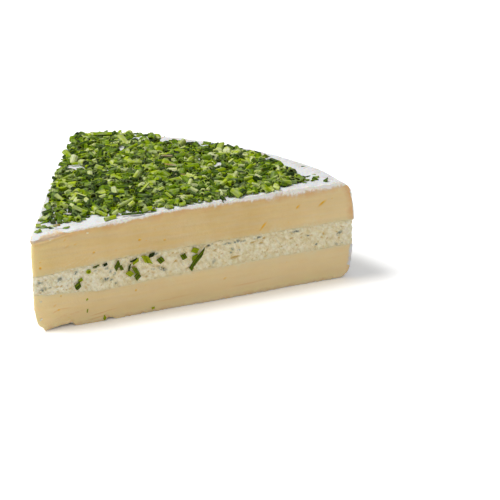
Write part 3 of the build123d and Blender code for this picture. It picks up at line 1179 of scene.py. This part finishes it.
def isCoated(x, y, dice):
    r, angle = fromAxis(x, y)
    fromFront, fromBack = wheel["halfAngle"] - angle, wheel["halfAngle"] + angle
    if dice.random() < 0.5 * (1 - r / coat["thinTip"]):
        return False
    wobble = 1.3 * patchAt(x, y, 4, 5) + dice.gauss(0, 0.4)
    frontAlong, frontIn = r * cos(fromFront) / mm, r * sin(fromFront) / mm
    backAlong, backIn = r * cos(fromBack) / mm, r * sin(fromBack) / mm
    degreesIn = np.degrees(fromFront)
    for inward, along, edge, share in (
        (frontIn, frontAlong, "bareFront", 1),
        (backIn, backAlong, "bareBack", 0.3),
        ((rimRadius(wheel["height"]) - r) / mm, degreesIn, "bareRim", min(1, degreesIn / 20)),
    ):
        if inward < np.interp(along, *zip(*coat[edge])) + wobble * share:
            return False
    for along, inward, halfLong, halfWide in barePatches:
        if ((backAlong - along) / halfLong) ** 2 + ((backIn - inward) / halfWide) ** 2 < 1 + 0.25 * wobble:
            return False
    return True


def hangsOver(x, y, yaw, length):
    # whether a bit would stick out past the back cut
    back = cuts["back"]["out"]
    outward = (x - axisPoint[0]) * back[0] + (y - axisPoint[1]) * back[1]
    return outward + 0.5 * length * mm * abs(cos(yaw) * back[0] + sin(yaw) * back[1]) > coat["hang"]


def settleBit(heap, x, y, yaw, size, tip, dice):
    # lets one bit down on the heap, leans it on what is under it, and adds it to the heap
    length, width, thick = size
    ax, ay = np.meshgrid(np.linspace(-0.42, 0.42, 4), np.linspace(-0.4, 0.4, 3), indexing="ij")
    local = np.column_stack([ax.ravel() * length, ay.ravel() * width])
    spun = local @ ((cos(yaw), sin(yaw)), (-sin(yaw), cos(yaw)))
    columns, rows = heapCells(heap, spun + (x, y))
    under = heap["level"][columns, rows]
    slopes = [local[:, axis] @ (under - under.mean()) / (local[:, axis] @ local[:, axis]) for axis in (0, 1)]
    pitch, roll = [0.7 * float(np.clip(slope, -0.5, 0.5)) + dice.gauss(0, tip) for slope in slopes]
    plane = local[:, 0] * pitch + local[:, 1] * roll
    rest = np.sort(under - plane)[-4:].mean() - coat["sink"]
    rest = min(rest, rindLevel(x, y) + coat["deepest"] * dice.uniform(0.2, 1))
    heap["level"][columns, rows] = np.maximum(under, rest + plane + thick * 0.75)
    return (x, y, rest + thick / 2), (roll, -pitch, yaw)


def dropBit(heap, bits, dice, kind, x, y, yaw, stretch, tint, axis=None):
    # an axis is given for a slice that lies on its side
    _, length, width, thick, tip = coat["kinds"][kind]
    if axis:
        length, thick = width, length * 0.4
        stretch = (stretch[0] * 0.5, stretch[1], stretch[1])
    size = (length * stretch[0] * mm, width * stretch[1] * mm, thick * stretch[2] * mm)
    centre, turn = settleBit(heap, x, y, yaw, size, tip, dice)
    if axis:
        turn = tuple(Vector(axis).to_track_quat("X", "Y").to_euler("XYZ"))
    elif kind == "curls" and dice.random() < 0.25:      # the hollow side up
        turn = (turn[0] + pi, turn[1], turn[2])
    bits[kind].append((centre, turn, stretch, tint, dice.randrange(3), 0))


def findSpot(heap, kind, dice):
    # the lowest of a few spots where a bit of this kind may lie
    spots = []
    for _ in range(60):
        r = rimRadius(wheel["height"]) * dice.random() ** 0.5
        angle = dice.uniform(-1, 1) * wheel["halfAngle"]
        x, y = axisPoint[0] + r * sin(angle), axisPoint[1] + r * cos(angle)
        yaw = dice.uniform(0, 2 * pi)
        ends = (0, -2.5 * mm, 2.5 * mm) if kind == "slivers" else (0,)
        if hangsOver(x, y, yaw, coat["kinds"][kind][1]):
            continue
        if all(isCoated(x + cos(yaw) * end, y + sin(yaw) * end, dice) for end in ends):
            near = np.array([(x, y), (x + mm, y), (x - mm, y), (x, y + mm), (x, y - mm)])
            spots.append((heap["level"][heapCells(heap, near)].mean() - topLevel(r), x, y, yaw))
        if len(spots) == coat["tries"]:
            break
    return min(spots)[1:] if spots else None


def onTop(along, inward):
    # a place on the top by mm along the front cut and in from it
    return (axisPoint + cuts["front"]["run"] * along * mm - cuts["front"]["out"] * inward * mm)[:2]


def sprinkle():
    # settles every kind in turns, so that they mix, and returns the bits of each kind
    heap = startHeap()
    dice = random.Random(2024)
    order = [kind for kind, row in coat["kinds"].items() for _ in range(row[0])]
    dice.shuffle(order)
    bits = {kind: [] for kind in coat["kinds"]}
    for number, kind in enumerate(order):
        spot = findSpot(heap, kind, dice)
        if spot is None:
            continue
        x, y, yaw = spot
        r = fromAxis(x, y)[0]
        size = (0.8 + 0.6 * dice.random() ** 2) * (0.6 + 0.4 * min(1, r / coat["smallTip"]))
        stretch = tuple([size * dice.uniform(*coat[way]) for way in ("long", "wide", "wide")])
        # painted shade: the bits that settle first lie under the others, so their tint is darkened
        tint = chiveTint(dice) * (0.75 if number < 0.45 * len(order) else 1)      # what lies below is darker
        if tint < 0.68:
            tint *= 1 + coat["patchy"] * patchAt(x, y, 6.5, 40)
            # lighter toward the rim, and painted light toward the tip, where the coat is thin
            tint *= 1 + 0.14 * rise(r, 70, 45) + 0.24 * (1 - ease(r / coat["thinTip"]))
            tint = min(tint, 0.8)
        onSide = kind == "rings" and dice.random() < 0.15
        axis = (dice.gauss(0, 0.3), dice.gauss(0, 0.3), 1) if onSide else None
        dropBit(heap, bits, dice, kind, x, y, yaw, stretch, tint, axis)
    for place in looseBits:
        kind = dice.choice(("chips", "chips", "curls"))
        yaw = dice.uniform(0, 2 * pi)
        stretch = (dice.uniform(0.6, 1), dice.uniform(0.6, 1), 1)
        dropBit(heap, bits, dice, kind, *onTop(*place), yaw, stretch, chiveTint(dice))
    for kind, along, inward, lean, pitch, above, longer, wider, tint in topBits:
        x, y = onTop(along, inward)
        turn = (dice.uniform(-0.3, 0.3), -radians(pitch), pi / 2 - wheel["halfAngle"] + radians(lean))
        bits[kind].append(((x, y, rindLevel(x, y) + above * mm), turn, (longer, wider, wider), tint, 2, 0))
    return bits


# Bits stuck on the front cut: (kind, along, height, lean, length, width, tint, shape), in mm and degrees
stuckBits = [
    ("rings", 23.9, 21.7, 90, 0.4, 0.85, 0.54, 2), ("flecks", 23.9, 21.7, 20, 1.2, 1.9, 0.42, 0),
    ("chips", 19.2, 16.5, 45, 1.05, 1.2, 0.16, 1), ("chips", 20.4, 18.7, 30, 0.8, 0.6, 0.4, 0),
    ("chips", 36.2, 22.2, 62, 1.3, 0.85, 0.17, 1), ("chips", 37.9, 21.0, -66, 0.9, 0.6, 0.2, 0),
    ("chips", 44.2, 22.6, 24, 1.25, 0.65, 0.44, 0), ("slivers", 43.2, 23.6, 26, 0.42, 0.42, 0.02, 1),
    ("chips", 48.0, 23.0, -62, 1.45, 0.55, 0.48, 0), ("chips", 48.9, 22.7, -62, 1.6, 0.5, 0.34, 0),
    ("chips", 49.8, 22.5, -62, 1.5, 0.6, 0.46, 1), ("chips", 51.2, 24.2, 12, 0.85, 0.7, 0.02, 1),
    ("slivers", 41.6, 20.6, 70, 0.4, 0.55, 0.03, 0), ("chips", 41.6, 18.0, -40, 1.15, 0.95, 0.42, 0),
    ("chips", 44.2, 18.9, -64, 1.15, 0.75, 0.24, 1), ("chips", 44.9, 16.3, 40, 1.1, 1.2, 0.16, 0),
    ("chips", 55.2, 21.4, -50, 1.05, 1.1, 0.2, 0), ("chips", 65.4, 21.2, -62, 0.95, 1.0, 0.18, 0),
    ("chips", 70.5, 23.1, -20, 1.15, 1.0, 0.4, 0), ("chips", 70.3, 20.1, 20, 0.95, 1.0, 0.34, 1),
    ("chips", 70.8, 18.5, 52, 3.9, 0.85, 0.15, 1), ("chips", 69.6, 17.0, 56, 1.9, 0.95, 0.16, 0),
    ("flecks", 23.0, 10.2, 40, 0.8, 0.8, 0.56, 0), ("flecks", 23.0, 5.4, 80, 0.8, 0.8, 0.44, 2),
    ("chips", 30.3, 1.2, 70, 0.65, 0.5, 0.4, 1), ("flecks", 51.6, 1.6, 10, 1.1, 1.0, 0.6, 0),
    ("flecks", 27.2, 23.3, 12, 1.4, 0.8, 0.22, 2), ("flecks", 31.2, 23.4, 20, 1.3, 1.3, 0.02, 0),
]


def layFlat(cutName, s, h, lean, lift, tilt):
    # the place and turn of something laid on a cut, leaning so many degrees
    cut = cuts[cutName]
    along = Vector(cut["run"]) * (1 if cutName == "front" else -1)
    zAxis = (Vector(cut["out"]) + Vector(tilt)).normalized()
    xAxis = along * cos(radians(lean)) + Vector((0, 0, sin(radians(lean))))
    xAxis = (xAxis - zAxis * xAxis.dot(zAxis)).normalized()
    centre = axisPoint + cut["run"] * s * mm + cut["out"] * lift * mm + np.array([0, 0, h * mm])
    return tuple(centre), Matrix((xAxis, zAxis.cross(xAxis), zAxis)).transposed()


def stickBits(bits):
    # lays bits on the cuts, half pressed in
    dice = random.Random(77)
    rows = [("front", *row) for row in stuckBits]
    for _ in range(26):
        s, h = spotBetween(dice, floorLevel, ceilingLevel, (8, 138), (-0.1, 1.05))
        kind = dice.choice(("chips", "chips", "chips", "slivers", "flecks", "flecks"))
        size = dice.uniform(0.5, 1)
        lean = dice.uniform(-80, 80)
        rows.append(("back", kind, s, h, lean, size, size, chiveTint(dice), dice.randrange(3)))
    for cutName, kind, s, h, lean, longer, wider, tint, shape in rows:
        tilt = [0.1 * dice.gauss(0, 1) for _ in range(3)]
        centre, turn = layFlat(cutName, s, h, lean, 0.75 if kind == "slivers" else 0.2, tilt)
        if kind == "rings":     # the hole faces out of the cut
            turn = turn @ Matrix.Rotation(pi / 2, 3, "Y")
        bits[kind].append((centre, tuple(turn.to_euler("XYZ")), (longer, wider, 0.8), tint, shape, 1))
    return bits


# Crumbs of curd and rind that cling to the front cut: (along, height, size), in mm
crumbs = [
    (3.6, 12.4, 0.9), (3.4, 5.1, 1.1), (2.2, 16.9, 1.3), (1.4, 17.3, 0.8), (2.9, 13.6, 0.5),
    (8.2, 37.0, 0.7), (24.0, 37.6, 0.8),
]


def makeCrumb(index):
    bpy.ops.object.select_all(action="DESELECT")
    bpy.ops.mesh.primitive_ico_sphere_add(subdivisions=2, radius=0.5)
    unit = readPoints(bpy.context.object)
    points = unit * (1.3, 0.8, 0.6) * (1 + 0.5 * grain(unit * mm, 0.4, 5 * index))[:, None]
    piece = startShape(f"crumb{index}", 600 + index, points)
    for name, value in (("pit", 0), ("herb", 0), ("smear", 0), ("warm", 0.6)):
        paint(piece, name, np.full(len(points), value))
    return piece


def crumbBits():
    dice = random.Random(31)
    rows = [("front", *row) for row in crumbs]
    for _ in range(150):
        s, h = spotBetween(dice, floorLevel, ceilingLevel, (3, 140), (0.05, 0.95))
        rows.append((dice.choice(("front", "back")), s, h, dice.uniform(0.25, 0.7)))
    bits = []
    for cutName, s, h, size in rows:
        tilt = [0.2 * dice.gauss(0, 1) for _ in range(3)]
        centre, turn = layFlat(cutName, s, h, dice.uniform(-60, 60), 0, tilt)
        bits.append((centre, tuple(turn.to_euler("XYZ")), (size, size, size * 0.8), 0, dice.randrange(3), 0))
    return bits


def scatter(name, maker, bits, material):
    # one mesh for one kind: its three shapes are instanced on points, and the instances made real
    shapes = bpy.data.collections.new(name + "Shapes")
    bpy.context.scene.collection.children.link(shapes)
    for index in range(3):
        shape = maker(index)
        for holder in list(shape.users_collection):
            holder.objects.unlink(shape)
        shapes.objects.link(shape)
    centres, *traits = zip(*bits)
    mesh = bpy.data.meshes.new(name)
    mesh.from_pydata(centres, [], [])
    piece = bpy.data.objects.new(name, mesh)
    bpy.context.scene.collection.objects.link(piece)
    tree = bpy.data.node_groups.new(name + "Scatter", "GeometryNodeTree")
    add = nodeAdder(tree)
    named = {}
    for key, kind, values in zip(
        ("turn", "stretch", "tint", "shape", "soaked"),
        ("FLOAT_VECTOR", "FLOAT_VECTOR", "FLOAT", "INT", "FLOAT"), traits,
    ):
        layer = mesh.attributes.new(key, kind, "POINT")
        layer.data.foreach_set("vector" if kind == "FLOAT_VECTOR" else "value", np.ravel(values))
        node = add("GeometryNodeInputNamedAttribute", {"Name": key}, data_type=kind)
        named[key] = node.outputs["Attribute"]
    for way in ("INPUT", "OUTPUT"):
        tree.interface.new_socket("Geometry", in_out=way, socket_type="NodeSocketGeometry")
    source = add("NodeGroupInput")
    collection = add("GeometryNodeCollectionInfo", {
        "Collection": shapes, "Separate Children": True, "Reset Children": True,
    })
    turns = add("FunctionNodeEulerToRotation", {0: named["turn"]})
    placed = add("GeometryNodeInstanceOnPoints", {
        "Points": source.outputs[0], "Instance": collection.outputs[0], "Pick Instance": True,
        "Instance Index": named["shape"], "Rotation": turns.outputs[0], "Scale": named["stretch"],
    })
    real = add("GeometryNodeRealizeInstances", {0: placed.outputs[0]})
    add("NodeGroupOutput", {0: real.outputs[0]})
    selectOnly(piece)
    modifier = piece.modifiers.new("scatter", "NODES")
    modifier.node_group = tree
    bpy.ops.object.modifier_apply(modifier="scatter")
    for shape in list(shapes.objects):
        bpy.data.objects.remove(shape)
    bpy.data.collections.remove(shapes)
    finishPiece(piece, material, 35)


# Studio

view = {
    "aim": (66.0 * mm, -19.1 * mm, 30.8 * mm),
    "distance": 0.7817,
    "azimuth": 32.18,
    "elevation": 18.9,
    "lens": 144.0,
}


def placeCamera():
    azimuth, elevation = radians(view["azimuth"]), radians(view["elevation"])
    toward = Vector((-sin(azimuth) * cos(elevation), cos(azimuth) * cos(elevation), -sin(elevation)))
    data = bpy.data.cameras.new("camera")
    data.lens = view["lens"]
    data.clip_start = 0.01
    camera = bpy.data.objects.new("camera", data)
    camera.location = Vector(view["aim"]) - toward * view["distance"]
    camera.rotation_euler = (pi / 2 - elevation, 0, azimuth)
    bpy.context.scene.collection.objects.link(camera)
    bpy.context.scene.camera = camera


studio = {
    "sky": 0.44,
    "lamps": {      # place and size in metres, and power in watts
        "key": ((-0.5, -0.35, 1.1), 0.5, 11.5),
        "fill": ((0.7, -1.0, 0.4), 1.2, 1.0),
    },
    "lit": 0.02,                # height of the point that the lamps face, in metres
    "floor": (0.9, 0.9, 0.9),
    "floorSeen": (1.35, 1.35, 1.35),    # the camera sees it a little whiter than the light does
}


def placeLights():
    scene = bpy.context.scene
    scene.view_settings.view_transform = "Standard"
    world = bpy.data.worlds.new("sky")
    scene.world = world
    world.use_nodes = True
    tree = world.node_tree
    add = nodeAdder(tree)
    rays = add("ShaderNodeLightPath").outputs["Is Camera Ray"]
    strength = add("ShaderNodeMapRange", {"Value": rays, "To Min": studio["sky"], "To Max": 1})
    tree.links.new(strength.outputs[0], tree.nodes["Background"].inputs["Strength"])
    tree.nodes["Background"].inputs["Color"].default_value = (1, 1, 1, 1)
    for name, (place, size, power) in studio["lamps"].items():
        data = bpy.data.lights.new(name, "AREA")
        data.size = size
        data.energy = power
        lamp = bpy.data.objects.new(name, data)
        lamp.location = place
        toward = Vector((0, 0, studio["lit"])) - Vector(place)
        lamp.rotation_euler = toward.to_track_quat("-Z", "Y").to_euler()
        scene.collection.objects.link(lamp)


def makeFloor():
    bpy.ops.object.select_all(action="DESELECT")
    bpy.ops.mesh.primitive_plane_add(size=6)
    floor = bpy.context.object
    floor.name = "floor"
    material, t = startMaterial("floorWhite")
    t.shader.inputs["Roughness"].default_value = 0.9
    t.shader.inputs["Specular IOR Level"].default_value = 0
    seen = t.add("ShaderNodeLightPath").outputs["Is Camera Ray"]
    white = t.mix(seen, studio["floor"], studio["floorSeen"])
    material.node_tree.links.new(white, t.shader.inputs["Base Color"])
    floor.data.materials.append(material)


placeCamera()
placeLights()
makeFloor()
print("studio is set")

pasteMaterial, fillingMaterial, chiveMaterial = makePaste(), makeFilling(), makeChive()
makeUpper(pasteMaterial)
makeLower(pasteMaterial)
makeFillingLayer(fillingMaterial)
print("layers are cut")

allBits = stickBits(sprinkle())
shapeMakers = {
    "rings": makeRing, "curls": makeCurl, "chips": makeChip, "slivers": makeSliver, "flecks": makeFleck,
}
for kind, maker in shapeMakers.items():
    scatter("chive" + kind.capitalize(), maker, allBits[kind], chiveMaterial)
scatter("curdCrumbs", makeCrumb, crumbBits(), fillingMaterial)
print("chives and crumbs are scattered")
